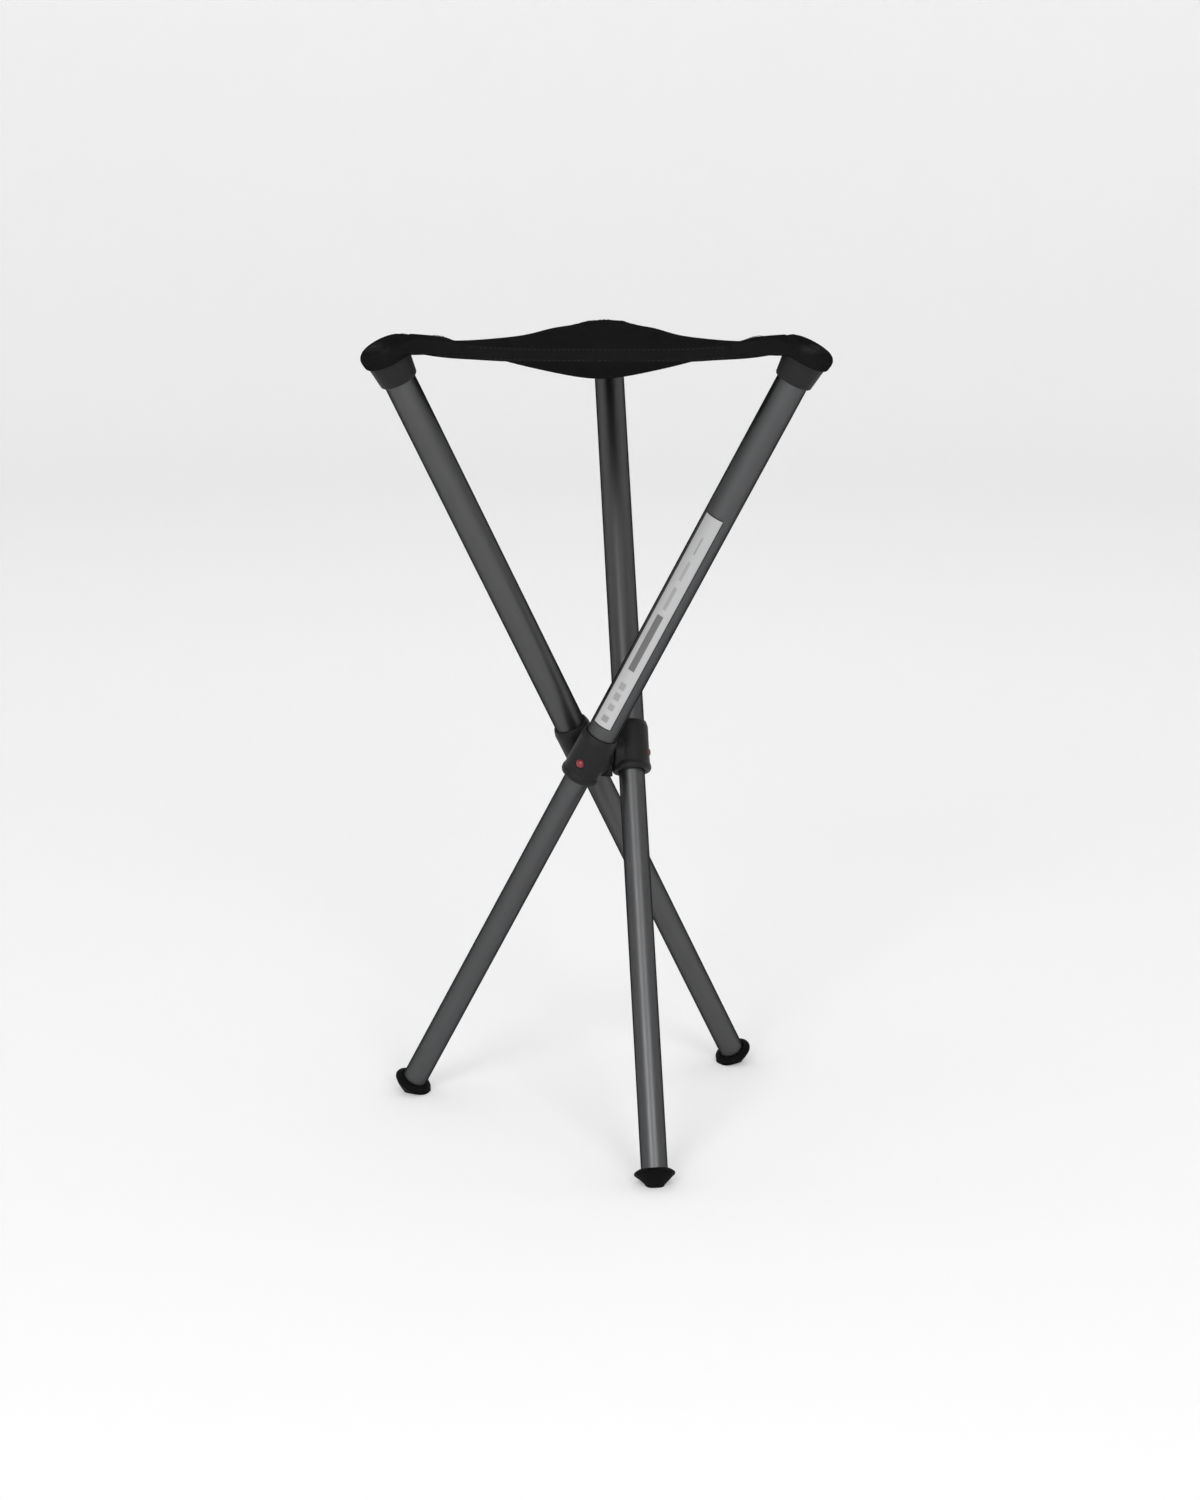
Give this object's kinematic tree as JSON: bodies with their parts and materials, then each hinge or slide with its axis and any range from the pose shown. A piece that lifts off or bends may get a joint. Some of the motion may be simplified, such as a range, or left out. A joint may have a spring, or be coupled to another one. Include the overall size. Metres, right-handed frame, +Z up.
{
  "type": "folding three leg stool",
  "caption": "Folding camp stool: straight telescopic legs cross at a small hub and carry a sagging triangular fabric seat; push buttons release the sliding leg ends.",
  "frame": {"origin": "on the ground, under the middle of the stool's bounding box; the hub's axis passes 0.3 mm to the right and 13.2 mm in front of it", "axes": "+Z up; -Y is the front, the side with the seat's straight front edge between the left and right corners; +X is to the right, seen from the front; the third corner is at the back, on +Y"},
  "size_m": [0.3278, 0.3458, 0.6001],
  "materials": {
    "tube": "satin dark grey coating",
    "plastic": "fine matt black",
    "nylon": "plain grey",
    "foot_rubber": "matt black",
    "seat_fabric": "black woven polyester",
    "button": "semi-gloss dark red",
    "steel": "zinc plated",
    "label": "satin silver film"
  },
  "bodies": {
    "hub": {"hub_upper_half": "plastic", "hub_lower_half": "plastic", "hub_screw": "steel", "hub_nut": "steel", "seat_panel": "seat_fabric", "seat_webbing_front": "seat_fabric", "seat_webbing_left": "seat_fabric", "seat_webbing_right": "seat_fabric"},
    "leg_back": {"upper_tube_back": "tube", "sleeve_back": "plastic", "pivot_pin_back": "steel", "pivot_washer_back": "nylon", "leg_cap_back": "plastic", "corner_pocket_back": "seat_fabric"},
    "leg_left": {"upper_tube_left": "tube", "sleeve_left": "plastic", "pivot_pin_left": "steel", "pivot_washer_left": "nylon", "leg_cap_left": "plastic", "corner_pocket_left": "seat_fabric"},
    "leg_right": {"upper_tube_right": "tube", "sleeve_right": "plastic", "pivot_pin_right": "steel", "pivot_washer_right": "nylon", "leg_cap_right": "plastic", "corner_pocket_right": "seat_fabric", "size_label": "label"},
    "lower_leg_back": {"lower_tube_back": "tube", "tube_guide_back": "nylon", "snap_spring_back": "steel", "foot_back": "foot_rubber"},
    "lower_leg_left": {"lower_tube_left": "tube", "tube_guide_left": "nylon", "snap_spring_left": "steel", "foot_left": "foot_rubber"},
    "lower_leg_right": {"lower_tube_right": "tube", "tube_guide_right": "nylon", "snap_spring_right": "steel", "foot_right": "foot_rubber"},
    "button_back": {"release_button_back": "button"},
    "button_left": {"release_button_left": "button"},
    "button_right": {"release_button_right": "button"}
  },
  "joints": [
    {"name": "leg_fold_back", "type": "hinge", "parent": "hub", "child": "leg_back", "pos_m": [0.00032, -0.01323, 0.2833], "axis": [0.9907, 0.1361, 0], "range_deg": [0, 28.8], "deforming": ["seat_panel", "seat_webbing_left", "seat_webbing_right", "seat_webbing_front"]},
    {"name": "leg_fold_left", "type": "hinge", "parent": "hub", "child": "leg_left", "pos_m": [0.00032, -0.01323, 0.2833], "axis": [-0.6132, 0.7899, 0], "range_deg": [0, 28.8]},
    {"name": "leg_fold_right", "type": "hinge", "parent": "hub", "child": "leg_right", "pos_m": [0.00032, -0.01323, 0.2833], "axis": [-0.3775, -0.926, 0], "range_deg": [0, 28.8]},
    {"name": "leg_slide_back", "type": "slide", "parent": "leg_back", "child": "lower_leg_back", "axis": [-0.0656, 0.4773, 0.8763], "range_m": [0, 0.268]},
    {"name": "leg_slide_left", "type": "slide", "parent": "leg_left", "child": "lower_leg_left", "axis": [-0.3805, -0.2954, 0.8763], "range_m": [0, 0.268]},
    {"name": "leg_slide_right", "type": "slide", "parent": "leg_right", "child": "lower_leg_right", "axis": [0.4461, -0.1818, 0.8763], "range_m": [0, 0.268]},
    {"name": "button_press_back", "type": "slide", "parent": "leg_back", "child": "button_back", "axis": [-0.9907, -0.1361, 0], "range_m": [0, 0.0015], "stiffness_N_per_m": 200, "springref_m": -0.005},
    {"name": "button_press_left", "type": "slide", "parent": "leg_left", "child": "button_left", "axis": [0.6132, -0.7899, 0], "range_m": [0, 0.0015], "stiffness_N_per_m": 200, "springref_m": -0.005},
    {"name": "button_press_right", "type": "slide", "parent": "leg_right", "child": "button_right", "axis": [0.3775, 0.926, 0], "range_m": [0, 0.0015], "stiffness_N_per_m": 200, "springref_m": -0.005}
  ],
  "couplings": [
    {"joint": "leg_fold_left", "follows": "leg_fold_back", "ratio": 1},
    {"joint": "leg_fold_right", "follows": "leg_fold_back", "ratio": 1}
  ]
}
